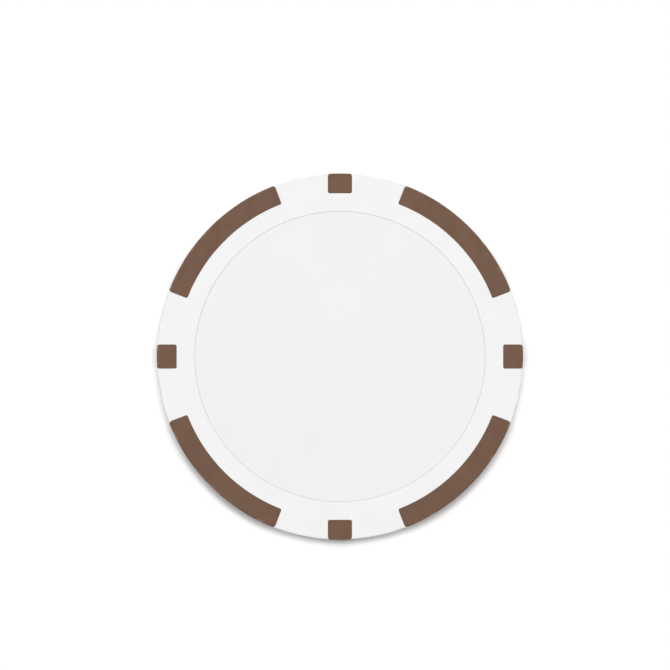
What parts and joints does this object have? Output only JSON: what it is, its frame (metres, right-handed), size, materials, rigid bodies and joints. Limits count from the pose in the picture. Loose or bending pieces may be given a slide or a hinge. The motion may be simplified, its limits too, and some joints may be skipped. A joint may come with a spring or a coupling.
{
  "type": "dealer button",
  "caption": "Round flat weighted puck with square and arc-shaped marks around its edge and a blank round inlay in each face, passed round a card table to show who deals.",
  "frame": {"origin": "centre of the back face, the face the button rests on", "axes": "+Z out of the front face, away from the table; +Y towards the north square insert and +X towards the east one; the button is turned so that a square insert lies on each of +X, +Y, -X and -Y"},
  "size_m": [0.05, 0.05, 0.004],
  "materials": {
    "body_white": "satin",
    "edge_brown": "satin",
    "inlay_white": "matte",
    "adhesive_clear": "satin",
    "slug_steel": "satin"
  },
  "bodies": {
    "root": {"front_shell": "body_white", "back_shell": "body_white", "steel_slug": "slug_steel", "front_adhesive": "adhesive_clear", "back_adhesive": "adhesive_clear", "front_inlay": "inlay_white", "back_inlay": "inlay_white", "stripe_insert_north_east": "edge_brown", "stripe_insert_north_west": "edge_brown", "stripe_insert_south_west": "edge_brown", "stripe_insert_south_east": "edge_brown", "square_insert_east": "edge_brown", "square_insert_north": "edge_brown", "square_insert_west": "edge_brown", "square_insert_south": "edge_brown"}
  },
  "joints": []
}
